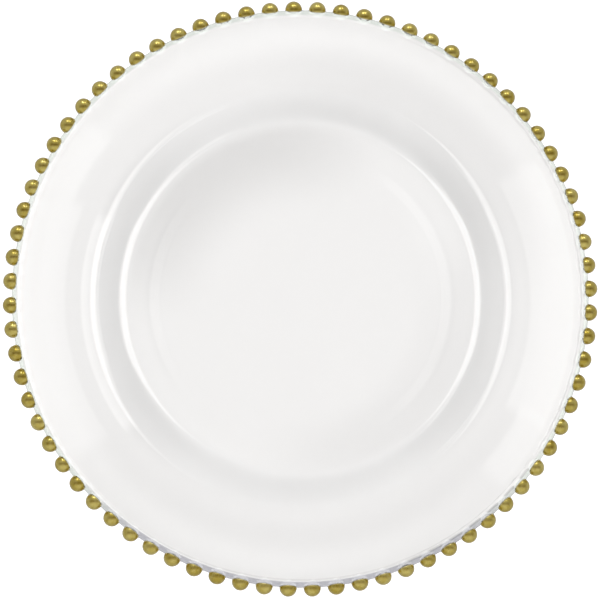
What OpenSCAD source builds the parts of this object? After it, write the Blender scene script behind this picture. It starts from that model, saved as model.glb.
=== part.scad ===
// Round charger plate of clear pressed glass with a row of gilded beads along its edge.
// Units are millimetres. The origin is on the table, below the middle of the well, with +Z up.

/* [Plate] */
// Diameter measured over the gilded beads
overall_d = 330; // [310:1:370]
// Diameter of the flat floor of the well
well_d = 192; // [150:1:204]
// Height from the floor of the well up to the shoulder, where the rim begins
well_depth = 12; // [9:0.5:18]
// Thickness of the glass in the floor, the wall and the rim
glass_t = 4.4; // [3:0.1:5.2]

/* [Wall and rim] */
// Rise of the well's wall for each millimetre that it runs outwards
wall_rise_share = 0.75; // [0.6:0.05:1]
// Radius of the hollow bend between the floor and the wall, on the upper face
heel_r = 9.7; // [4:0.1:14]
// Radius of the round bend between the wall and the rim, on the upper face
shoulder_r = 12; // [7:0.1:16]
// Slope of the rim in degrees where it reaches the edge roll, from level at the shoulder
rim_slope = 12; // [9:0.5:16]

/* [Foot] */
// Depth of the shallow hollow under the floor, which leaves a ring to stand on
foot_recess = 0.3; // [0.2:0.1:1.5]
// Width of the flat ring that the plate stands on
foot_w = 11; // [6:0.5:20]
// Width of the slope between the ring and the hollow
foot_ramp_w = 6; // [1:0.5:9]

/* [Edge] */
// Diameter of the thick round roll of glass that runs along the edge
roll_d = 5.6; // [5.4:0.1:7]
// Distance from the middle of the roll out to the middle of the beads
bead_reach = 3.05; // [2:0.05:3.9]

/* [Beads] */
// Number of beads around the edge
bead_count = 76; // [24:4:88]
// Diameter of one bead over its gold
bead_d = 9.5; // [8:0.1:11]
// Thickness of the gold coat on a bead
gold_t = 0.2; // [0.1:0.05:0.4]
// How far past a bead's middle its gold reaches towards the plate
gold_reach = 1.1; // [0.5:0.1:1.5]
// Lean of the paint line in degrees, which leaves more gold on top of a bead than below it
gold_lean = 17; // [8:1:24]

/* [Hidden] */
$fn = 96;

// Facets in the circles that the bends are cut from, of which only a short arc is used
bend_facets = 480;

// Step to which the rim's radius is rounded, so that the strips of the section meet exactly
radius_step = 0.01;

floor_r = well_d / 2;
bead_r = bead_d / 2;
roll_r = roll_d / 2;
bead_ring_r = overall_d / 2 - bead_r;
roll_ring_r = bead_ring_r - bead_reach;
bead_pitch = 360 / bead_count;

// Length of the wall's straight part, from the height that the two bends leave it
wall_slope = atan(wall_rise_share);
bends_rise = (heel_r + shoulder_r) * (1 - cos(wall_slope));
bends_run = (heel_r + shoulder_r) * sin(wall_slope);
wall_l = (well_depth - bends_rise) / sin(wall_slope);

// The rim is one long bend that brings the middle of its thickness to the middle of the roll
shoulder_end_r = floor_r + bends_run + wall_l * cos(wall_slope);
rim_run = roll_ring_r - shoulder_end_r - glass_t / 2 * sin(rim_slope);
rim_r = radius_step * round(rim_run / sin(rim_slope) / radius_step);
rim_rise = rim_r * (1 - cos(rim_slope));
roll_h = glass_t + well_depth + rim_rise - glass_t / 2 * cos(rim_slope);

// The section is drawn as a path along the upper face, with the glass on the path's right-hand side.
// Each strip starts at the origin heading along +X, and its children go where the strip ends.

// Removes everything before the start or after the end of a bend, seen from the bend's centre
module half_plane(reach, side) {
    translate([side > 0 ? 0 : -reach, -reach]) square([reach, 2 * reach]);
}

// A strip of glass bent about the origin to an inner radius, through a turn
module bent_strip(inner_r, turn) {
    outer_r = inner_r + glass_t;
    reach = 2 * outer_r;
    difference() {
        circle(r = outer_r, $fn = bend_facets);
        circle(r = inner_r, $fn = bend_facets);
        half_plane(reach, -1);
        rotate(turn) half_plane(reach, 1);
    }
}

// The path bends upwards about a centre above it, at a radius on the upper face
module bend_up(face_r, turn) {
    translate([0, face_r]) {
        bent_strip(face_r, turn);
        rotate(turn) translate([0, -face_r]) children();
    }
}

// The path bends downwards about a centre below it, at a radius on the upper face
module bend_down(face_r, turn) {
    translate([0, -face_r]) {
        bent_strip(face_r - glass_t, turn);
        rotate(turn) translate([0, face_r]) children();
    }
}

// The path runs straight for a length
module straight_strip(length) {
    translate([0, -glass_t]) square([length, glass_t]);
    translate([length, 0]) children();
}

// Half of the section through the floor, with the shallow hollow below it
module floor_section() {
    foot_inner_r = floor_r - foot_w;
    polygon([
        [0, foot_recess],
        [foot_inner_r - foot_ramp_w, foot_recess],
        [foot_inner_r, 0],
        [floor_r, 0],
        [floor_r, glass_t],
        [0, glass_t]
    ]);
}

// Half of the section through the well's wall and the rim, up to the middle of the edge roll
module wall_and_rim_section() {
    translate([floor_r, glass_t])
        bend_up(heel_r, wall_slope)
            straight_strip(wall_l)
                bend_down(shoulder_r, -wall_slope)
                    bend_up(rim_r, rim_slope);
}

// Section through the thick round roll of glass that closes the edge and carries the beads
module edge_roll_section() {
    translate([roll_ring_r, roll_h]) circle(r = roll_r);
}

// Puts a copy of a bead's part at each place around the edge, half a pitch off the X axis
module at_each_bead() {
    for (i = [0 : bead_count - 1])
        rotate(bead_pitch * (i + 0.5)) translate([bead_ring_r, 0, roll_h]) children();
}

// The space on the plate's side of a bead that the gold leaves bare, behind a leaning plane
module bare_side() {
    rotate([0, -gold_lean, 0])
        translate([-gold_reach - bead_d, -bead_r, -bead_r])
            cube(bead_d);
}

// The pressing: floor, wall, rim, edge roll and the glass inside each bead, all one piece
module glass_plate() {
    color([0.85, 0.93, 0.91, 0.45])
        union() {
            rotate_extrude() union() {
                floor_section();
                wall_and_rim_section();
                edge_roll_section();
            }
            at_each_bead() sphere(r = bead_r - gold_t);
        }
}

// The gold on the beads: one thin cap for each bead, open towards the plate
module gold_bead_coats() {
    color([0.66, 0.56, 0.26])
        at_each_bead() difference() {
            sphere(r = bead_r);
            sphere(r = bead_r - gold_t);
            bare_side();
        }
}

glass_plate();
gold_bead_coats();
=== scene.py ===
"""Charger plate of clear pressed glass with gilded beads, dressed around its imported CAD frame.

The plate is two pieces: the glass pressing, with its well, rim, edge roll and beads, and the
gold coats on the beads. Lengths are in metres unless a name ends in _mm, and angles in radians
unless it ends in _deg.
"""

import logging
import math
import random
from dataclasses import dataclass, field
from enum import Enum

import bmesh
import bpy
from mathutils import Matrix, Vector

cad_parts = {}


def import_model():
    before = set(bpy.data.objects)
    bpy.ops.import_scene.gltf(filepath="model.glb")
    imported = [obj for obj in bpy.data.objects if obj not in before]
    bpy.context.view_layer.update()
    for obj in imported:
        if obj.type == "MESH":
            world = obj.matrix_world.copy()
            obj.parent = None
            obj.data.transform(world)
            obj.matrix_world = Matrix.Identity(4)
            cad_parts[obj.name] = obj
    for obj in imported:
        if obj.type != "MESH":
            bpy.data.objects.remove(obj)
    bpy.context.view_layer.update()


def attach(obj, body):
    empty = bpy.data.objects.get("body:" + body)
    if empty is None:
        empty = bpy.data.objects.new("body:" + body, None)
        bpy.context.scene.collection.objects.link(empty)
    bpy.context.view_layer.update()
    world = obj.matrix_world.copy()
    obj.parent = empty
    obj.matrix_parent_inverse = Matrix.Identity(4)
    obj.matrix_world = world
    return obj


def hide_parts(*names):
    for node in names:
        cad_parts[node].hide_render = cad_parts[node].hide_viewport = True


LOG = logging.getLogger("charger_plate")
MM = 0.001
Colour = tuple[float, float, float]
Span = tuple[float, float]

BLACK: Colour = (0.0, 0.0, 0.0)
WHITE: Colour = (1.0, 1.0, 1.0)
RISING: Span = (0.0, 1.0)
FALLING: Span = (1.0, 0.0)

# Points closer than this are one point: on a turned skin, and where the beads join the roll
TOUCHING = 0.001 * MM
JOINED = 0.01 * MM


class RayFact(Enum):
    """What a shader may ask about the ray that reaches it."""

    FROM_CAMERA = "Is Camera Ray"
    CASTS_SHADOW = "Is Shadow Ray"
    IS_REFLECTED = "Is Glossy Ray"
    CAME_THROUGH = "Is Transmission Ray"
    MATT_BOUNCES = "Diffuse Depth"


# Shader helpers


class NodeBench:
    """Adds nodes to one node tree and joins them."""

    def __init__(self, tree: bpy.types.NodeTree) -> None:
        """Takes the tree to work on and empties it.

        Args:
            tree: The node tree of a material, world or group.
        """
        self.tree = tree
        tree.nodes.clear()

    def add(self, kind: str, **inputs: object) -> bpy.types.Node:
        """Adds a node and sets or links its inputs.

        Args:
            kind: The node's Blender type name.
            **inputs: Input names, with underscores for spaces, and a plain value or an
                output socket for each.

        Returns:
            The new node.
        """
        node = self.tree.nodes.new(kind)
        for name, value in inputs.items():
            self.set(node, name.replace("_", " "), value)
        return node

    def set(self, node: bpy.types.Node, name: str | int, value: object) -> None:
        """Links an output socket to a node's input, or sets the input's plain value.

        Args:
            node: The node that has the input.
            name: The input's name or number.
            value: An output socket or a plain value.
        """
        target = node.inputs[name]
        if isinstance(value, bpy.types.NodeSocket):
            self.tree.links.new(value, target)
        else:
            target.default_value = value

    def math(self, operation: str, first: object, second: object = 0.0) -> bpy.types.NodeSocket:
        """Adds a Math node.

        Args:
            operation: The Math node's operation.
            first: A value or an output socket.
            second: A value or an output socket.

        Returns:
            The node's result.
        """
        node = self.tree.nodes.new("ShaderNodeMath")
        node.operation = operation
        self.set(node, 0, first)
        self.set(node, 1, second)
        return node.outputs[0]

    def vector(self, operation: str, first: bpy.types.NodeSocket,
               second: object = (0.0, 0.0, 0.0)) -> bpy.types.NodeSocket:
        """Adds a Vector Math node.

        Args:
            operation: The Vector Math node's operation.
            first: An output socket that gives a vector.
            second: A vector or an output socket.

        Returns:
            The node's result, which is a number for a length or a dot product.
        """
        node = self.tree.nodes.new("ShaderNodeVectorMath")
        node.operation = operation
        self.set(node, 0, first)
        self.set(node, 1, second)
        return node.outputs["Value" if operation in ("LENGTH", "DOT_PRODUCT") else "Vector"]

    def remap(self, value: bpy.types.NodeSocket, source: Span,
              target: Span = RISING) -> bpy.types.NodeSocket:
        """Maps a value from one range to another, easing in and out and held at both ends.

        Args:
            value: The output socket to map.
            source: The range that the value is read in.
            target: The range that it comes out in.

        Returns:
            The mapped value.
        """
        node = self.add("ShaderNodeMapRange", Value=value, From_Min=source[0], From_Max=source[1],
                        To_Min=target[0], To_Max=target[1])
        node.interpolation_type = "SMOOTHSTEP"
        return node.outputs["Result"]

    def blend(self, share: object, first: object, second: object) -> bpy.types.NodeSocket:
        """Mixes two colours.

        Args:
            share: How much of the second colour shows, from 0 to 1.
            first: A colour or an output socket.
            second: A colour or an output socket.

        Returns:
            The mixed colour.
        """
        node = self.tree.nodes.new("ShaderNodeMix")
        node.data_type = "RGBA"
        self.set(node, 0, share)
        self.set(node, 6, first if isinstance(first, bpy.types.NodeSocket) else (*first, 1.0))
        self.set(node, 7, second if isinstance(second, bpy.types.NodeSocket) else (*second, 1.0))
        return node.outputs[2]

    def mix(self, share: bpy.types.NodeSocket, first: bpy.types.Node,
            second: bpy.types.Node) -> bpy.types.Node:
        """Mixes two shaders.

        Args:
            share: How much of the second shader shows, from 0 to 1.
            first: A shader's node.
            second: A shader's node.

        Returns:
            The mixed shader's node.
        """
        node = self.tree.nodes.new("ShaderNodeMixShader")
        for number, value in enumerate((share, first.outputs[0], second.outputs[0])):
            self.set(node, number, value)
        return node

    def ray(self, fact: RayFact) -> bpy.types.NodeSocket:
        """Asks about the ray that reaches the surface, and gives 0, 1 or a count."""
        return self.add("ShaderNodeLightPath").outputs[fact.value]

    def attribute(self, name: str) -> bpy.types.NodeSocket:
        """Reads a number that the piece's mesh carries on its points."""
        node = self.add("ShaderNodeAttribute")
        node.attribute_name = name
        return node.outputs["Fac"]

    def about_axis(self) -> tuple[bpy.types.NodeSocket, bpy.types.NodeSocket]:
        """Finds where a place lies about the plate's axis.

        Returns:
            Its distance from the axis in metres, and the level direction from there to it.
        """
        place = self.add("ShaderNodeTexCoord").outputs["Object"]
        flat = self.vector("MULTIPLY", place, (1.0, 1.0, 0.0))
        return self.vector("LENGTH", flat), self.vector("NORMALIZE", flat)

    def facing(self, unit: bpy.types.NodeSocket, azimuth_deg: float) -> bpy.types.NodeSocket:
        """Measures how far a level direction points to one side of the plate.

        Args:
            unit: The direction from the axis.
            azimuth_deg: The side, in degrees from +X.

        Returns:
            The cosine of the angle between the two.
        """
        side = math.radians(azimuth_deg)
        return self.vector("DOT_PRODUCT", unit, (math.cos(side), math.sin(side), 0.0))


@dataclass(frozen=True)
class Unevenness:
    """The shared effect of a surface that no mould or brush leaves perfectly even."""

    GROUP = "surface_unevenness"
    NUMBER = "NodeSocketFloat"
    DETAIL = 3.0
    MASKED = (0.35, 0.65)

    waves_per_metre: float
    fineness: float
    seed: float

    @classmethod
    def group(cls) -> bpy.types.NodeTree:
        """Builds the shader group, once for all the materials.

        Returns:
            A group that takes a Scale, a Fineness from 0 to 1 and a Seed, and puts out a Mask
            from 0 to 1 and a Height for a Bump node.
        """
        if cls.GROUP in bpy.data.node_groups:
            return bpy.data.node_groups[cls.GROUP]
        group = bpy.data.node_groups.new(cls.GROUP, "ShaderNodeTree")
        bench = NodeBench(group)
        sockets = ("INPUT", ("Scale", "Fineness", "Seed")), ("OUTPUT", ("Mask", "Height"))
        for way, labels in sockets:
            for label in labels:
                group.interface.new_socket(label, in_out=way, socket_type=cls.NUMBER)
        given = bench.add("NodeGroupInput").outputs
        place = bench.add("ShaderNodeTexCoord").outputs["Object"]
        noise = bench.tree.nodes.new("ShaderNodeTexNoise")
        noise.noise_dimensions = "4D"
        for label, value in (("Vector", place), ("W", given["Seed"]), ("Scale", given["Scale"]),
                             ("Roughness", given["Fineness"]), ("Detail", cls.DETAIL)):
            bench.set(noise, label, value)
        wave = noise.outputs["Fac"]
        bench.add("NodeGroupOutput", Mask=bench.remap(wave, cls.MASKED), Height=wave)
        return group

    def build(self, bench: NodeBench) -> bpy.types.Node:
        """Places the group in a material, with values of its own.

        Args:
            bench: The material's node bench.

        Returns:
            The group's node.
        """
        node = bench.tree.nodes.new("ShaderNodeGroup")
        node.node_tree = self.group()
        for label, value in (("Scale", self.waves_per_metre), ("Fineness", self.fineness),
                             ("Seed", self.seed)):
            bench.set(node, label, value)
        return node


# Finishes


@dataclass(frozen=True)
class ClearGlass:
    """Fire-polished soda-lime glass, with the slow waves that a mould leaves.

    The edge roll's tint stands partly for the long way that light takes through it and partly for
    painted shade there, and the front's darker tint is painted shade, a dark line along the front
    of the roll. They and the clear bead roots count for the eye alone, and the shares of light
    for the plate's shadow.
    """

    ior: float = 1.52
    tint: Colour = (0.998, 0.990, 0.984)
    # Edge roll: partly the green of thick glass, partly painted shade, seen by the camera only
    edge_tint_and_shade: Colour = (0.64, 0.70, 0.64)
    edge_tint_and_shade_from: Span = (156.3 * MM, 157.7 * MM)
    # Painted shade: a dark line along the front of the edge roll, seen by the camera only
    front_painted_shade: Colour = (0.32, 0.32, 0.37)
    front_painted_shade_from: Span = (156.2 * MM, 157.0 * MM)
    front_azimuth_deg: float = -90.0
    front_spread: Span = (0.60, 0.86)
    root_clear: float = 0.75
    root_tint: float = 0.28
    depth_colour: Colour = (0.66, 0.80, 0.76)
    depth_per_metre: float = 4.0
    waves: Unevenness = Unevenness(26.0, 0.25, 1.7)
    wave_height: float = 0.16 * MM
    ripples: Unevenness = Unevenness(130.0, 0.5, 5.2)
    ripple_height: float = 0.004 * MM
    haze: Span = (0.0, 0.015)
    level_to_steep: Span = (0.01, 0.20)
    light_passed: Span = (0.95, 0.68)

    def material(self) -> bpy.types.Material:
        """Builds the material.

        Returns:
            The finished glass.
        """
        mat = bpy.data.materials.new("clear_pressed_glass")
        mat.use_nodes = True
        bench = NodeBench(mat.node_tree)
        waves, ripples = self.waves.build(bench), self.ripples.build(bench)
        slow = bench.add("ShaderNodeBump", Height=waves.outputs["Height"], Strength=1.0,
                         Distance=self.wave_height)
        quick = bench.add("ShaderNodeBump", Height=ripples.outputs["Height"], Strength=1.0,
                          Distance=self.ripple_height, Normal=slow.outputs["Normal"])
        colour = self.tinted_and_shaded(bench)
        glass = bench.add("ShaderNodeBsdfPrincipled", Base_Color=colour, IOR=self.ior,
                          Metallic=0.0, Transmission_Weight=1.0, Normal=quick.outputs["Normal"],
                          Roughness=bench.remap(ripples.outputs["Mask"], RISING, self.haze))
        clear = bench.math("MULTIPLY", bench.attribute(GlassPressing.ROOT), self.root_clear)
        clear = bench.math("MULTIPLY", clear, bench.ray(RayFact.FROM_CAMERA))
        paler = bench.blend(self.root_tint, WHITE, colour)
        seen = bench.mix(clear, glass, bench.add("ShaderNodeBsdfTransparent", Color=paler))
        body = bench.mix(bench.ray(RayFact.CASTS_SHADOW), seen, self.shadow(bench))
        depth = bench.add("ShaderNodeVolumeAbsorption", Color=(*self.depth_colour, 1.0),
                          Density=self.depth_per_metre)
        bench.add("ShaderNodeOutputMaterial", Surface=body.outputs[0], Volume=depth.outputs[0])
        return mat

    def tinted_and_shaded(self, bench: NodeBench) -> bpy.types.NodeSocket:
        """Colours the glass: greener and darker in the edge roll, partly painted shade, and
        darkest along the front, where the dark line is painted shade.

        Args:
            bench: The material's node bench.

        Returns:
            The colour at each place.
        """
        away, unit = bench.about_axis()
        # Greener and darker in the edge roll: partly the glass's own green, partly painted shade
        edge = bench.remap(away, self.edge_tint_and_shade_from)
        toward = bench.remap(bench.facing(unit, self.front_azimuth_deg), self.front_spread)
        # Painted shade along the front of the edge roll
        front = bench.math("MULTIPLY", bench.remap(away, self.front_painted_shade_from), toward)
        colour: object = self.tint
        for share, tint in ((edge, self.edge_tint_and_shade), (front, self.front_painted_shade)):
            share = bench.math("MULTIPLY", share, bench.ray(RayFact.FROM_CAMERA))
            colour = bench.blend(share, colour, tint)
        return colour

    def shadow(self, bench: NodeBench) -> bpy.types.Node:
        """Lets a share of the light through to the floor, less where the glass is steep.

        Args:
            bench: The material's node bench.

        Returns:
            A see-through shader's node.
        """
        normal = bench.add("ShaderNodeNewGeometry").outputs["Normal"]
        upright = bench.add("ShaderNodeSeparateXYZ", Vector=normal).outputs["Z"]
        lean = bench.math("SUBTRACT", 1.0, bench.math("ABSOLUTE", upright))
        share = bench.remap(lean, self.level_to_steep, self.light_passed)
        return bench.add("ShaderNodeBsdfTransparent", Color=bench.blend(share, BLACK, WHITE))


@dataclass(frozen=True)
class GoldPaint:
    """Satin gold paint over a white primer, mottled where it is thinner, paler at its edge.

    Its tone lies between deep and light, by shares of the mottle, the bead's own tone and the
    grain.
    """

    deep: Colour = (0.52, 0.375, 0.015)
    light: Colour = (0.79, 0.66, 0.18)
    edge: Colour = (0.72, 0.64, 0.36)
    primer: Colour = (0.93, 0.92, 0.89)
    sheen: Span = (0.27, 0.37)
    ior: float = 1.5
    varnish: float = 1.0
    varnish_haze: float = 0.10
    mottle: Unevenness = Unevenness(330.0, 0.55, 3.1)
    mottle_share: float = 0.55
    bead_share: float = 0.45
    grain: Unevenness = Unevenness(2600.0, 0.7, 8.4)
    grain_share: float = 0.12
    grain_height: float = 0.008 * MM
    edge_cover: Span = (0.75, 1.0)

    def material(self) -> bpy.types.Material:
        """Builds the material.

        Returns:
            The finished paint.
        """
        mat = bpy.data.materials.new("fired_gold_paint")
        mat.use_nodes = True
        bench = NodeBench(mat.node_tree)
        mottle, grain = self.mottle.build(bench), self.grain.build(bench)
        tone = bench.math("MULTIPLY", mottle.outputs["Mask"], self.mottle_share)
        for part, share in ((bench.attribute(GoldCoats.TONE), self.bead_share),
                            (grain.outputs["Mask"], self.grain_share)):
            tone = bench.math("ADD", tone, bench.math("MULTIPLY", part, share))
        colour = bench.blend(tone, self.deep, self.light)
        worn = bench.math("MULTIPLY", bench.remap(bench.attribute(GoldCoats.EDGE), RISING),
                          bench.remap(mottle.outputs["Mask"], RISING, self.edge_cover))
        colour = bench.blend(worn, colour, self.edge)
        within = bench.attribute(GoldCoats.INSIDE)
        colour = bench.blend(within, colour, self.primer)
        bump = bench.add("ShaderNodeBump", Height=grain.outputs["Height"], Strength=1.0,
                         Distance=self.grain_height)
        paint = bench.add("ShaderNodeBsdfPrincipled", Base_Color=colour, IOR=self.ior,
                          Metallic=bench.math("SUBTRACT", 1.0, within),
                          Roughness=bench.remap(grain.outputs["Mask"], RISING, self.sheen),
                          Coat_Weight=self.varnish, Coat_Roughness=self.varnish_haze,
                          Normal=bump.outputs["Normal"])
        bench.add("ShaderNodeOutputMaterial", Surface=paint.outputs[0])
        return mat


# Sizes


@dataclass(frozen=True)
class PlateSizes:
    """The plate's sizes in metres and radians.

    All but side_reach are the CAD source's own. It is how much further the gold reaches at the
    plate's sides, and how much less at its back and front.
    """

    overall_d: float = 330 * MM
    well_d: float = 192 * MM
    well_depth: float = 12 * MM
    glass_t: float = 4.4 * MM
    wall_rise_share: float = 0.75
    heel_r: float = 9.7 * MM
    shoulder_r: float = 12 * MM
    rim_slope: float = math.radians(12)
    foot_recess: float = 0.3 * MM
    foot_w: float = 11 * MM
    foot_ramp_w: float = 6 * MM
    roll_d: float = 5.6 * MM
    bead_reach: float = 3.05 * MM
    bead_count: int = 76
    bead_d: float = 9.5 * MM
    gold_t: float = 0.2 * MM
    gold_reach: float = 1.1 * MM
    gold_lean: float = math.radians(17)
    side_reach: float = 0.55 * MM

    @property
    def floor_r(self) -> float:
        """Radius of the well's flat floor."""
        return self.well_d / 2

    @property
    def bead_r(self) -> float:
        """Radius of a bead over its gold."""
        return self.bead_d / 2

    @property
    def bead_ring_r(self) -> float:
        """Radius of the circle that the beads' middles lie on."""
        return self.overall_d / 2 - self.bead_r

    @property
    def pitch(self) -> float:
        """Angle from one bead to the next."""
        return math.tau / self.bead_count

    @property
    def bead_azimuths(self) -> list[float]:
        """Angles of the beads about the axis, the first one half a pitch from +X."""
        return [self.pitch * (index + 0.5) for index in range(self.bead_count)]

    def paint_reach(self, azimuth: float) -> float:
        """How far past its middle the gold of a bead at this azimuth reaches."""
        return self.gold_reach + self.side_reach * math.cos(2 * azimuth)

    @property
    def roll_ring_r(self) -> float:
        """Radius of the circle that the edge roll's middle lies on."""
        return self.bead_ring_r - self.bead_reach

    @property
    def wall_slope(self) -> float:
        """Slope of the well's wall."""
        return math.atan(self.wall_rise_share)

    @property
    def wall_l(self) -> float:
        """Length of the wall's straight part."""
        bends_rise = (self.heel_r + self.shoulder_r) * (1 - math.cos(self.wall_slope))
        return (self.well_depth - bends_rise) / math.sin(self.wall_slope)

    @property
    def shoulder_end_r(self) -> float:
        """Radius at which the rim begins."""
        bends_run = (self.heel_r + self.shoulder_r) * math.sin(self.wall_slope)
        return self.floor_r + bends_run + self.wall_l * math.cos(self.wall_slope)

    @property
    def rim_r(self) -> float:
        """Radius of the rim's long bend on its upper face."""
        run = self.roll_ring_r - self.shoulder_end_r - self.glass_t / 2 * math.sin(self.rim_slope)
        return run / math.sin(self.rim_slope)

    @property
    def roll_h(self) -> float:
        """Height of the edge roll's middle, and of the beads'."""
        rise = self.rim_r * (1 - math.cos(self.rim_slope))
        return self.glass_t + self.well_depth + rise - self.glass_t / 2 * math.cos(self.rim_slope)


# Modelling helpers


class SectionPen:
    """Draws the half section of a turned piece in the XZ plane, as one chain of edges."""

    def __init__(self, start: tuple[float, float]) -> None:
        """Puts the pen down.

        Args:
            start: Radius and height of the first point.
        """
        self.mesh = bmesh.new()
        self.tip = self.mesh.verts.new((start[0], 0.0, start[1]))

    def line(self, end: Vector | tuple[float, float], steps: int = 1) -> None:
        """Draws straight on from the pen's tip.

        Args:
            end: Radius and height of the end.
            steps: Number of equal edges.
        """
        stride = (Vector((end[0], 0.0, end[1])) - self.tip.co) / steps
        for _ in range(steps):
            made = bmesh.ops.extrude_vert_indiv(self.mesh, verts=[self.tip])
            self.tip = made["verts"][0]
            bmesh.ops.translate(self.mesh, verts=[self.tip], vec=stride)

    def arc(self, centre: Vector | tuple[float, float], angle: float, steps: int) -> None:
        """Draws an arc from the pen's tip.

        Args:
            centre: Radius and height of the arc's centre.
            angle: Turn in radians, positive from outwards towards upwards.
            steps: Number of edges.
        """
        made = bmesh.ops.spin(self.mesh, geom=[self.tip], cent=(centre[0], 0.0, centre[1]),
                              axis=(0.0, -1.0, 0.0), angle=angle, steps=steps, use_merge=False)
        self.tip = next(v for v in made["geom_last"] if isinstance(v, bmesh.types.BMVert))

    def turned(self, steps: int) -> bmesh.types.BMesh:
        """Turns the section about the Z axis into a closed skin.

        Args:
            steps: Number of segments around.

        Returns:
            The turned mesh, with its faces outwards.
        """
        mesh = self.mesh
        bmesh.ops.spin(mesh, geom=mesh.verts[:] + mesh.edges[:], cent=(0, 0, 0),
                       axis=(0, 0, 1), angle=math.tau, steps=steps, use_merge=True)
        bmesh.ops.remove_doubles(mesh, verts=mesh.verts[:], dist=TOUCHING)
        bmesh.ops.recalc_face_normals(mesh, faces=mesh.faces[:])
        return mesh


def as_piece(mesh: bmesh.types.BMesh, name: str) -> bpy.types.Object:
    """Makes a smooth-shaded object at the origin from a bmesh and frees the bmesh.

    Args:
        mesh: The finished mesh.
        name: The piece's name.

    Returns:
        The object.
    """
    for face in mesh.faces:
        face.smooth = True
    data = bpy.data.meshes.new(name)
    mesh.to_mesh(data)
    mesh.free()
    piece = bpy.data.objects.new(name, data)
    bpy.context.scene.collection.objects.link(piece)
    return piece


def triangles(piece: bpy.types.Object) -> int:
    """Counts a piece's triangles."""
    piece.data.calc_loop_triangles()
    return len(piece.data.loop_triangles)


# The plate's two pieces


@dataclass(frozen=True)
class SectionSteps:
    """How many edges each stretch of the pressing's section has."""

    recess: int = 5
    heel_under: int = 8
    wall: int = 4
    shoulder_under: int = 6
    rim_under: int = 8
    roll: int = 26
    rim_upper: int = 9
    shoulder_upper: int = 9
    heel_upper: int = 9
    floor: int = 7


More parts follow.
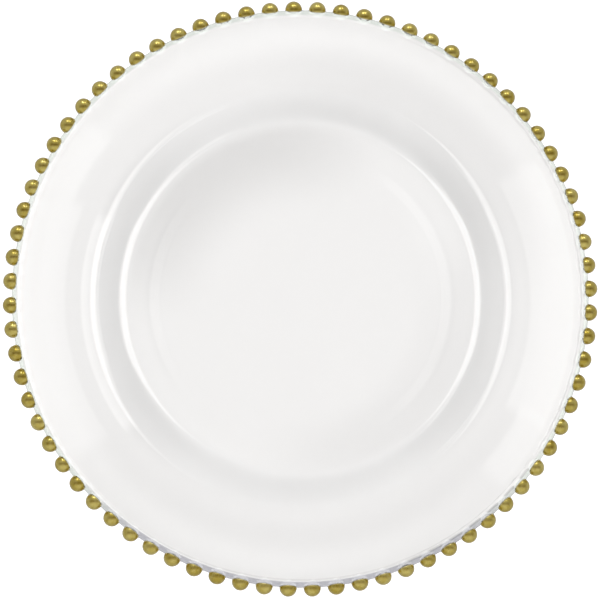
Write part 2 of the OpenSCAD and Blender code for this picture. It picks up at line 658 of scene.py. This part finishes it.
@dataclass
class GlassPressing:
    """The pressing: floor, foot ring, wall, shoulder, rim, edge roll and the glass of the beads.

    Its creases are smoothed in passes, those at the beads most. The root of a bead is its bare
    glass behind the paint line: from root_gap on it sinks towards the edge roll over root_run,
    down to root_kept of its height, and root_blend takes in a little of the roll around it.
    The brink is a short last edge on each face of the rim, which keeps the shading of the
    crease after it narrow.
    """

    ROOT = "bead_root"

    sizes: PlateSizes
    finish: ClearGlass = field(default_factory=ClearGlass)
    steps: SectionSteps = field(default_factory=SectionSteps)
    corner_shares: tuple[float, ...] = (0.15, 0.85, 1.0)
    segments_per_bead: int = 8
    bead_segments: int = 24
    bead_rings: int = 16
    crease_angle: float = math.radians(25)
    crease_passes: int = 5
    root_passes: int = 12
    pass_share: float = 0.5
    root_gap: float = 0.35 * MM
    root_run: float = 0.9 * MM
    root_kept: float = 0.2
    root_blend: float = 0.5 * MM
    brink: float = 0.4 * MM

    def section(self) -> SectionPen:
        """Draws the half section, from the axis under the floor, around the edge and back.

        Returns:
            The pen with the whole chain.
        """
        s, steps, slope = self.sizes, self.steps, self.sizes.wall_slope
        along = Vector((math.cos(slope), math.sin(slope)))
        down = Vector((math.sin(slope), -math.cos(slope)))
        heel = (s.floor_r, s.glass_t + s.heel_r)
        wall_in = Vector((heel[0] + s.heel_r * math.sin(slope),
                          heel[1] - s.heel_r * math.cos(slope)))
        wall_out = wall_in + s.wall_l * along
        shoulder = wall_out + s.shoulder_r * down
        rim = Vector((s.shoulder_end_r, s.glass_t + s.well_depth + s.rim_r))
        roll = Vector((s.roll_ring_r, s.roll_h))
        ring_in = s.floor_r - s.foot_w
        brink_turn = self.brink / s.rim_r
        under_turn, under = self.meet(rim, s.rim_r + s.glass_t, roll)
        upper_turn, upper = self.meet(rim, s.rim_r, roll)
        around = (self.angle(roll, upper) - self.angle(roll, under)) % math.tau

        pen = SectionPen((0.0, s.foot_recess))
        pen.line((ring_in - s.foot_ramp_w, s.foot_recess), steps.recess)
        self.soft_corner(pen, (ring_in, 0.0))
        self.soft_corner(pen, (s.floor_r, 0.0))
        pen.arc(heel, slope, steps.heel_under)
        pen.line(wall_out + s.glass_t * down, steps.wall)
        pen.arc(shoulder, -slope, steps.shoulder_under)
        pen.arc(rim, under_turn - brink_turn, steps.rim_under)
        pen.arc(rim, brink_turn, 1)
        pen.arc(roll, around, steps.roll)
        pen.arc(rim, -brink_turn, 1)
        pen.arc(rim, brink_turn - upper_turn, steps.rim_upper)
        pen.arc(shoulder, slope, steps.shoulder_upper)
        pen.line(wall_in, steps.wall)
        pen.arc(heel, -slope, steps.heel_upper)
        pen.line((0.0, s.glass_t), steps.floor)
        return pen

    def soft_corner(self, pen: SectionPen, corner: tuple[float, float]) -> None:
        """Draws to a corner of the foot, split so that smooth shading keeps to the corner.

        Args:
            pen: The pen.
            corner: Radius and height of the corner.
        """
        start = pen.tip.co.copy()
        end = Vector((corner[0], 0.0, corner[1]))
        for share in self.corner_shares:
            point = start.lerp(end, share)
            pen.line((point.x, point.z))

    @staticmethod
    def angle(centre: Vector, point: Vector) -> float:
        """Angle of a point of the section about a centre."""
        return math.atan2(point[1] - centre[1], point[0] - centre[0])

    def meet(self, centre: Vector, radius: float, roll: Vector) -> tuple[float, Vector]:
        """Finds where one face of the rim runs into the edge roll.

        Args:
            centre: Centre of the rim's bend.
            radius: Radius of that face of the rim.
            roll: Middle of the edge roll.

        Returns:
            The turn of the bend up to there, and the point.
        """
        gap = (roll - centre).length
        off = (radius ** 2 + gap ** 2 - (self.sizes.roll_d / 2) ** 2) / (2 * radius * gap)
        turn = self.angle(centre, roll) + math.pi / 2 - math.acos(off)
        return turn, centre + radius * Vector((math.sin(turn), -math.cos(turn)))

    def beads(self) -> bpy.types.Object:
        """Makes the glass of all the beads as one object of separate balls.

        Returns:
            The object, which only serves the union.
        """
        s = self.sizes
        mesh = bmesh.new()
        for azimuth in s.bead_azimuths:
            place = (Matrix.Rotation(azimuth, 4, "Z")
                     @ Matrix.Translation((s.bead_ring_r, 0.0, s.roll_h))
                     @ Matrix.Rotation(math.pi / 2, 4, "X"))
            bmesh.ops.create_uvsphere(mesh, u_segments=self.bead_segments,
                                      v_segments=self.bead_rings, radius=s.bead_r - s.gold_t,
                                      matrix=place)
        return as_piece(mesh, "bead_glass")

    def soften_creases(self, piece: bpy.types.Object) -> None:
        """Rounds the corners where the beads and the rim run into the roll, as a mould does.

        Args:
            piece: The joined pressing.
        """
        mesh = bmesh.new()
        mesh.from_mesh(piece.data)
        bmesh.ops.remove_doubles(mesh, verts=mesh.verts[:], dist=JOINED)
        shown = mesh.verts.layers.float.new(self.ROOT)
        sharp = [e for e in mesh.edges
                 if math.hypot(*e.verts[0].co.xy) > self.sizes.roll_ring_r
                 and len(e.link_faces) == 2 and e.calc_face_angle(0.0) > self.crease_angle]
        creased = list({v for e in sharp for v in e.verts})
        roots = [v for v in mesh.verts if self.bare_depth(v.co) > 0.0]
        for vert in roots:
            vert[shown] = 1.0
            self.sink_root(vert)
        for verts, passes in ((creased, self.crease_passes), (roots, self.root_passes)):
            for _ in range(passes):
                bmesh.ops.smooth_vert(mesh, verts=verts, factor=self.pass_share,
                                      use_axis_x=True, use_axis_y=True, use_axis_z=True)
        for face in mesh.faces:
            face.smooth = True
        mesh.to_mesh(piece.data)
        mesh.free()

    def bare_depth(self, point: Vector) -> float:
        """Tells how far behind the paint line a point on the bare glass of a bead is.

        Args:
            point: A point on the pressing.

        Returns:
            The distance, or 0 under the gold, away from the beads and on the rim.
        """
        s = self.sizes
        azimuth = math.atan2(point.y, point.x)
        out, up = math.hypot(point.x, point.y) - s.bead_ring_r, point.z - s.roll_h
        aside = (azimuth % s.pitch - s.pitch / 2) * s.bead_ring_r
        near = Vector((out, aside, up)).length < s.bead_r + self.root_blend
        if not near or out < -s.bead_reach - s.roll_d / 2:
            return 0.0
        behind = -(out * math.cos(s.gold_lean) + up * math.sin(s.gold_lean))
        return max(0.0, behind - s.paint_reach(azimuth) - self.root_gap)

    def sink_root(self, vert: bmesh.types.BMVert) -> None:
        """Brings a point on the bare glass of a bead nearer to the height of the edge roll.

        Args:
            vert: The vertex to move.
        """
        s = self.sizes
        out, up = math.hypot(*vert.co.xy) - s.roll_ring_r, vert.co.z - s.roll_h
        roll = math.sqrt(max(0.0, (s.roll_d / 2) ** 2 - out ** 2))
        if abs(up) > roll:
            kept = max(self.root_kept, 1.0 - self.bare_depth(vert.co) / self.root_run)
            vert.co.z = s.roll_h + math.copysign(roll + kept * (abs(up) - roll), up)

    def build(self) -> bpy.types.Object:
        """Makes the pressing as one closed skin.

        Returns:
            The piece.
        """
        around = self.sizes.bead_count * self.segments_per_bead
        piece = as_piece(self.section().turned(around), "glass_plate_pressing")
        balls = self.beads()
        join = piece.modifiers.new("join_beads", "BOOLEAN")
        join.operation, join.solver, join.object = "UNION", "MANIFOLD", balls
        bpy.context.view_layer.update()
        graph = bpy.context.evaluated_depsgraph_get()
        joined = bpy.data.meshes.new_from_object(piece.evaluated_get(graph))
        piece.modifiers.clear()
        piece.data = joined
        joined.name = piece.name
        bpy.data.objects.remove(balls)
        self.soften_creases(piece)
        return piece

    def dress(self, piece: bpy.types.Object) -> None:
        """Gives the pressing its glass and puts it in place of its CAD node."""
        piece.data.materials.clear()
        piece.data.materials.append(self.finish.material())
        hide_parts("glass_plate")
        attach(piece, "root")


@dataclass
class GoldCoats:
    """The gold on the beads: one thin cap on each, open towards the plate.

    Each coat's reach, lean and shape wander a little. It is sunk into the glass under it by a
    hair, so that no gap shows, and its paint is thinner over edge_width from its line.
    """

    TONE = "bead_tone"
    EDGE = "paint_edge"
    INSIDE = "paint_inside"

    sizes: PlateSizes
    finish: GoldPaint = field(default_factory=GoldPaint)
    seed: int = 11
    meridian_steps: int = 14
    around_steps: int = 26
    sunk: float = 0.05 * MM
    reach_wander: float = 0.18 * MM
    lean_wander: float = math.radians(2)
    shape_wander: float = 0.012
    edge_width: float = 0.7 * MM

    def build(self) -> bpy.types.Object:
        """Makes all the coats.

        Returns:
            The piece, with each coat a closed shell of its own.
        """
        s = self.sizes
        draw = random.Random(self.seed)
        whole = bmesh.new()
        for layer in (self.TONE, self.EDGE, self.INSIDE):
            whole.verts.layers.float.new(layer)
        for azimuth in s.bead_azimuths:
            coat = self.coat(draw, s.paint_reach(azimuth))
            turn = Matrix.Rotation(azimuth, 4, "Z")
            stretch = Matrix.Diagonal((*(1 + draw.uniform(-1, 0) * self.shape_wander
                                         for _ in range(3)), 1.0))
            place = turn @ Matrix.Translation((s.bead_ring_r, 0.0, s.roll_h)) @ stretch
            bmesh.ops.transform(coat, matrix=place, verts=coat.verts[:])
            shade = draw.random()
            coat_tone = coat.verts.layers.float.new(self.TONE)
            for vert in coat.verts:
                vert[coat_tone] = shade
            patch = bpy.data.meshes.new("coat")
            coat.to_mesh(patch)
            coat.free()
            whole.from_mesh(patch)
            bpy.data.meshes.remove(patch)
        return as_piece(whole, "gold_coats_on_beads")

    def coat(self, draw: random.Random, usual: float) -> bmesh.types.BMesh:
        """Makes one bead's coat about the origin, with the plate towards -X.

        Args:
            draw: The source of the small differences between beads.
            usual: How far past the bead's middle the paint usually reaches there.

        Returns:
            A closed shell, with the share of the way to its paint line on each vertex.
        """
        s = self.sizes
        reach = usual + draw.uniform(-1, 1) * self.reach_wander
        lean = s.gold_lean + draw.uniform(-1, 1) * self.lean_wander
        mesh = bmesh.new()
        edge = mesh.verts.layers.float.new(self.EDGE)
        pole = mesh.verts.new((s.bead_r, 0.0, 0.0))
        bmesh.ops.spin(mesh, geom=[pole], cent=(0, 0, 0), axis=(0, -1, 0), use_merge=False,
                       angle=math.pi / 2 + math.asin(reach / s.bead_r), steps=self.meridian_steps)
        bmesh.ops.spin(mesh, geom=mesh.verts[:] + mesh.edges[:], cent=(0, 0, 0), axis=(1, 0, 0),
                       angle=math.tau, steps=self.around_steps, use_merge=True)
        bmesh.ops.remove_doubles(mesh, verts=mesh.verts[:], dist=TOUCHING)
        for vert in mesh.verts:
            vert[edge] = max(0.0, 1.0 - (vert.co.x + reach) / self.edge_width)
        bmesh.ops.recalc_face_normals(mesh, faces=mesh.faces[:])
        if sum(f.normal.dot(f.calc_center_median()) for f in mesh.faces) < 0:
            bmesh.ops.reverse_faces(mesh, faces=mesh.faces[:])
        bmesh.ops.solidify(mesh, geom=mesh.faces[:], thickness=s.gold_t + self.sunk)
        inside = mesh.verts.layers.float.new(self.INSIDE)
        for vert in mesh.verts:
            vert[inside] = float(vert.co.length < s.bead_r - s.gold_t / 2)
        bmesh.ops.rotate(mesh, verts=mesh.verts[:], cent=(0, 0, 0),
                         matrix=Matrix.Rotation(-lean, 3, "Y"))
        return mesh

    def dress(self, piece: bpy.types.Object) -> None:
        """Gives the coats their paint and puts them in place of their CAD node."""
        piece.data.materials.clear()
        piece.data.materials.append(self.finish.material())
        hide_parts("gold_bead_coats")
        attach(piece, "root")


# The studio


@dataclass(frozen=True)
class SoftLamp:
    """A flat lamp that faces the plate, and may fade out towards its sides.

    The fades are shares of its width, from either end, and then of its height.
    """

    name: str
    azimuth_deg: float
    off_zenith_deg: float
    distance: float
    width: float
    height: float
    radiance: float
    fades: tuple[float, float, float, float] = (0.0, 0.0, 0.0, 0.0)

    def build(self, lit: bpy.types.Collection) -> None:
        """Makes the lamp.

        Args:
            lit: The only things that it lights.
        """
        data = bpy.data.lights.new(self.name, "AREA")
        data.shape = "RECTANGLE"
        data.size, data.size_y = self.width, self.height
        data.energy = self.radiance * math.pi * self.width * self.height
        if any(self.fades):
            self.fade(data)
        lamp = bpy.data.objects.new(self.name, data)
        azimuth, off_zenith = math.radians(self.azimuth_deg), math.radians(self.off_zenith_deg)
        away = Vector((math.sin(off_zenith) * math.cos(azimuth),
                       math.sin(off_zenith) * math.sin(azimuth), math.cos(off_zenith)))
        lamp.location = away * self.distance
        lamp.rotation_euler = away.to_track_quat("Z", "Y").to_euler()
        lamp.light_linking.receiver_collection = lit
        lamp.visible_camera = False
        bpy.context.scene.collection.objects.link(lamp)

    def fade(self, data: bpy.types.Light) -> None:
        """Dims the lamp towards its sides.

        Args:
            data: The lamp's light.
        """
        data.use_nodes = True
        bench = NodeBench(data.node_tree)
        place = bench.add("ShaderNodeNewGeometry").outputs["Parametric"]
        split = bench.add("ShaderNodeSeparateXYZ", Vector=place)
        strength: object = 1.0
        for axis, (start, end) in (("X", self.fades[:2]), ("Y", self.fades[2:])):
            along = split.outputs[axis]
            if start:
                strength = bench.math("MULTIPLY", strength, bench.remap(along, (0.0, start)))
            if end:
                dimmed = bench.remap(along, (1.0 - end, 1.0), FALLING)
                strength = bench.math("MULTIPLY", strength, dimmed)
        glow = bench.add("ShaderNodeEmission", Color=(*WHITE, 1.0), Strength=strength)
        bench.add("ShaderNodeOutputLight", Surface=glow.outputs[0])


@dataclass(frozen=True)
class PhotoCamera:
    """The photograph's camera, solved from the places of the beads in the picture.

    The solution turns and shifts the plate before a camera that looks straight down, and the
    camera is moved about the plate by the reverse of that.
    """

    tilt_x: float = -0.0522
    tilt_y: float = 0.0670
    roll: float = math.radians(-0.5281)
    shift_x: float = 1.878 * MM
    shift_y: float = 1.673 * MM
    distance: float = 1132.8 * MM
    focal_px: float = 2046.9
    image_px: int = 600
    sensor_mm: float = 36.0
    clip: Span = (0.01, 50.0)

    def build(self, aim_h: float) -> None:
        """Makes the camera and makes it the scene's own.

        Args:
            aim_h: Height of the beads' middles, which the solution is about.
        """
        turn = (Matrix.Rotation(self.tilt_x, 3, "X") @ Matrix.Rotation(self.tilt_y, 3, "Y")
                @ Matrix.Rotation(self.roll, 3, "Z")).transposed()
        data = bpy.data.cameras.new("photo_camera")
        data.sensor_width = self.sensor_mm
        data.lens = self.focal_px * self.sensor_mm / self.image_px
        data.clip_start, data.clip_end = self.clip
        camera = bpy.data.objects.new("photo_camera", data)
        eye = turn @ Vector((-self.shift_x, -self.shift_y, self.distance)) + Vector((0, 0, aim_h))
        camera.matrix_world = Matrix.Translation(eye) @ turn.to_4x4()
        bpy.context.scene.collection.objects.link(camera)
        bpy.context.scene.camera = camera


@dataclass(frozen=True)
class PaintedPaperShade:
    """A ring of painted light or shade on the paper under the plate, lighter or darker, all round
    or on some sides.

    It comes in and goes out over spans of the distance from the axis, and to the sides over a
    span of the cosine of the angle from the direction that it lies towards.
    """

    amount: float
    starts: Span
    ends: Span | None = None
    towards_deg: float | None = None
    spread: Span = RISING
    both_sides: bool = False

    def build(self, bench: NodeBench, away: bpy.types.NodeSocket,
              unit: bpy.types.NodeSocket) -> bpy.types.NodeSocket:
        """Works out the painted light or shade that the ring adds to the paper's glow.

        Args:
            bench: The floor material's node bench.
            away: Distance from the plate's middle.
            unit: Direction from the plate's middle.

        Returns:
            The change of the glow at each place.
        """
        change = bench.remap(away, self.starts, (0.0, self.amount))
        if self.ends is not None:
            change = bench.math("MULTIPLY", change, bench.remap(away, self.ends, FALLING))
        if self.towards_deg is not None:
            facing = bench.facing(unit, self.towards_deg)
            if self.both_sides:
                facing = bench.math("ABSOLUTE", facing)
            change = bench.math("MULTIPLY", change, bench.remap(facing, self.spread))
        return change


@dataclass
class Studio:
    """A pale floor, soft lamps, a grey surround and the camera.

    The floor glows for what looks at it, with a strength for each kind of look, and the paper
    under the plate carries painted light and shade. The surround is lighter towards the horizon
    and has a dark warm band overhead, from side to side.
    """

    floor_size: float = 12.0
    floor_drop: float = 0.02 * MM
    floor_white: float = 0.45
    glow_camera: float = 0.85
    glow_glossy: float = 0.08
    glow_through: float = 0.466
    # Painted light and shade on the paper under the plate
    painted_shades: tuple[PaintedPaperShade, ...] = (
        # Painted light under the rim, brighter at its left and right and under the shoulder's
        # left: painted reflections of the side lamps
        PaintedPaperShade(0.09, (0.130, 0.150)),
        PaintedPaperShade(0.06, (0.1290, 0.1315), (0.154, 0.157), 2, (0.857, 0.891)),
        PaintedPaperShade(0.05, (0.1370, 0.1405), (0.154, 0.157), -34, (0.985, 0.994)),
        PaintedPaperShade(0.05, (0.1305, 0.1335), (0.154, 0.157), 187, (0.857, 0.891)),
        PaintedPaperShade(0.05, (0.1370, 0.1405), (0.154, 0.157), 149, (0.985, 0.994)),
        PaintedPaperShade(0.10, (0.1145, 0.1165), (0.1220, 0.124), 188, (0.850, 0.890)),
        # Painted shade on the paper under the well's floor, darkest as a painted shadow of the
        # wall at the upper left
        PaintedPaperShade(-0.15, (0.045, 0.088), (0.092, 0.102), 125, (0.35, 1.0)),
        PaintedPaperShade(-0.07, (0.060, 0.085), (0.092, 0.102), -40, (0.3, 1.0)),
        PaintedPaperShade(-0.03, (0.077, 0.081), (0.085, 0.089), 0, (0.70, 0.95), True),
        # Painted shade below the wall at both sides, and on the rim at the upper right and the
        # front
        PaintedPaperShade(-0.09, (0.099, 0.104), (0.115, 0.124), 0, (0.45, 0.90), True),
        PaintedPaperShade(-0.05, (0.100, 0.107), (0.140, 0.152), 52, (0.60, 0.97)),
        PaintedPaperShade(-0.07, (0.115, 0.140), (0.156, 0.160), -90, (0.2, 0.9)),
        # Painted shadow under the edge roll and the beads
        PaintedPaperShade(-0.14, (0.1615, 0.1630), (0.1675, 0.1700), -92, (0.62, 0.90)),
        PaintedPaperShade(-0.28, (0.1575, 0.1590), (0.1620, 0.1640), -52, (0.93, 0.98)),
        PaintedPaperShade(-0.15, (0.1575, 0.1630), None, 15, (0.45, 0.85)),
    )
    horizon: Colour = (0.60, 0.60, 0.61)
    middle: Colour = (0.47, 0.47, 0.475)
    overhead: Colour = (0.185, 0.145, 0.13)
    beyond_glass: Colour = (0.80, 0.80, 0.81)
    horizon_ends: Span = (0.02, 0.14)
    band_edge: Span = (0.08, 0.42)
    band_starts: Span = (0.35, 0.75)
    plate_lamps: tuple[SoftLamp, ...] = (
        SoftLamp("left_box", 181, 29, 1.7, 1.35, 1.5, 1.85, (0.12, 0.12, 0.10, 0.25)),
        SoftLamp("right_box", 3, 37, 1.7, 1.2, 1.75, 2.0, (0.12, 0.12, 0.10, 0.25)),
        SoftLamp("left_strip", 174, 35, 1.6, 2.6, 0.30, 1.4, (0.2, 0.2, 0.2, 0.2)),
        SoftLamp("right_strip", -17, 38, 1.6, 2.2, 0.30, 1.4, (0.2, 0.2, 0.2, 0.2)),
    )
    bead_lamps: tuple[SoftLamp, ...] = (
        SoftLamp("back_left_lamp", 105, 57, 1.8, 0.36, 0.36, 7.2),
        SoftLamp("back_right_lamp", 75, 57, 1.8, 0.36, 0.36, 4.6),
        SoftLamp("front_card", 270, 45, 0.45, 1.6, 1.0, 0.22, (0.35, 0.35, 0.40, 0.40)),
    )

    def floor(self) -> bpy.types.Object:
        """Makes the floor, which glows for what looks at it and still takes the plate's shadow.

        Returns:
            The floor object.
        """
        mesh = bmesh.new()
        bmesh.ops.create_grid(mesh, x_segments=4, y_segments=4, size=self.floor_size / 2)
        bmesh.ops.translate(mesh, verts=mesh.verts[:], vec=(0, 0, -self.floor_drop))
        floor = as_piece(mesh, "studio_floor")
        mat = bpy.data.materials.new("white_paper")
        mat.use_nodes = True
        bench = NodeBench(mat.node_tree)
        glow = bench.math("MULTIPLY", bench.ray(RayFact.FROM_CAMERA), self.glow_camera)
        for fact, share in ((RayFact.IS_REFLECTED, self.glow_glossy),
                            (RayFact.CAME_THROUGH, self.glow_with_painted_shade(bench))):
            glow = bench.math("MAXIMUM", glow, bench.math("MULTIPLY", bench.ray(fact), share))
        paper = bench.add("ShaderNodeBsdfDiffuse", Color=(*(self.floor_white,) * 3, 1.0))
        light = bench.add("ShaderNodeEmission", Color=(*WHITE, 1.0), Strength=glow)
        both = bench.tree.nodes.new("ShaderNodeAddShader")
        bench.set(both, 0, paper.outputs[0])
        bench.set(both, 1, light.outputs[0])
        bench.add("ShaderNodeOutputMaterial", Surface=both.outputs[0])
        floor.data.materials.append(mat)
        return floor

    def glow_with_painted_shade(self, bench: NodeBench) -> bpy.types.NodeSocket:
        """Paints light and shade on the paper that shows through the glass, as the photograph's
        is shaded.

        Args:
            bench: The floor material's node bench.

        Returns:
            The glow's strength at each place.
        """
        away, unit = bench.about_axis()
        glow: object = self.glow_through
        for shade in self.painted_shades:
            glow = bench.math("ADD", glow, shade.build(bench, away, unit))
        return glow

    def surround(self) -> None:
        """Makes the world, which is white to the camera and even to what looks through glass."""
        world = bpy.data.worlds.new("studio_surround")
        bpy.context.scene.world = world
        world.use_nodes = True
        bench = NodeBench(world.node_tree)
        place = bench.add("ShaderNodeTexCoord").outputs["Generated"]
        split = bench.add("ShaderNodeSeparateXYZ", Vector=place)
        up, forward = split.outputs["Z"], bench.math("ABSOLUTE", split.outputs["Y"])
        colour = bench.blend(bench.remap(up, self.horizon_ends), self.horizon, self.middle)
        band = bench.math("MULTIPLY", bench.remap(forward, self.band_edge, FALLING),
                          bench.remap(up, self.band_starts))
        colour = bench.blend(band, colour, self.overhead)
        seen = bench.math("SUBTRACT", bench.ray(RayFact.CAME_THROUGH),
                          bench.ray(RayFact.MATT_BOUNCES))
        colour = bench.blend(seen, colour, self.beyond_glass)
        colour = bench.blend(bench.ray(RayFact.FROM_CAMERA), colour, WHITE)
        back = bench.add("ShaderNodeBackground", Color=colour, Strength=1.0)
        bench.add("ShaderNodeOutputWorld", Surface=back.outputs[0])

    def build(self, aim_h: float, glass: bpy.types.Object, coats: bpy.types.Object) -> None:
        """Makes the whole studio.

        Args:
            aim_h: Height of the beads' middles above the floor.
            glass: The pressing, which the photograph shows the side boxes in.
            coats: The gold, which it shows the back lamps in.
        """
        floor = self.floor()
        self.surround()
        groups = (self.plate_lamps, (glass, floor)), (self.bead_lamps, (coats,))
        for lamps, things in groups:
            lit = bpy.data.collections.new("lit_by_" + lamps[0].name)
            for thing in things:
                lit.objects.link(thing)
            for lamp in lamps:
                lamp.build(lit)
        PhotoCamera().build(aim_h)
        bpy.context.scene.view_settings.view_transform = "Standard"


def main() -> None:
    """Loads the frame, builds and dresses the plate's pieces, and sets the studio around them."""
    logging.basicConfig(level=logging.INFO, format="%(name)s: %(message)s")
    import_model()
    sizes = PlateSizes()
    pieces = []
    for maker in (GlassPressing(sizes), GoldCoats(sizes)):
        piece = maker.build()
        maker.dress(piece)
        LOG.info("%s: %d triangles", piece.name, triangles(piece))
        pieces.append(piece)
    Studio().build(sizes.roll_h, *pieces)


if __name__ == "__main__":
    main()
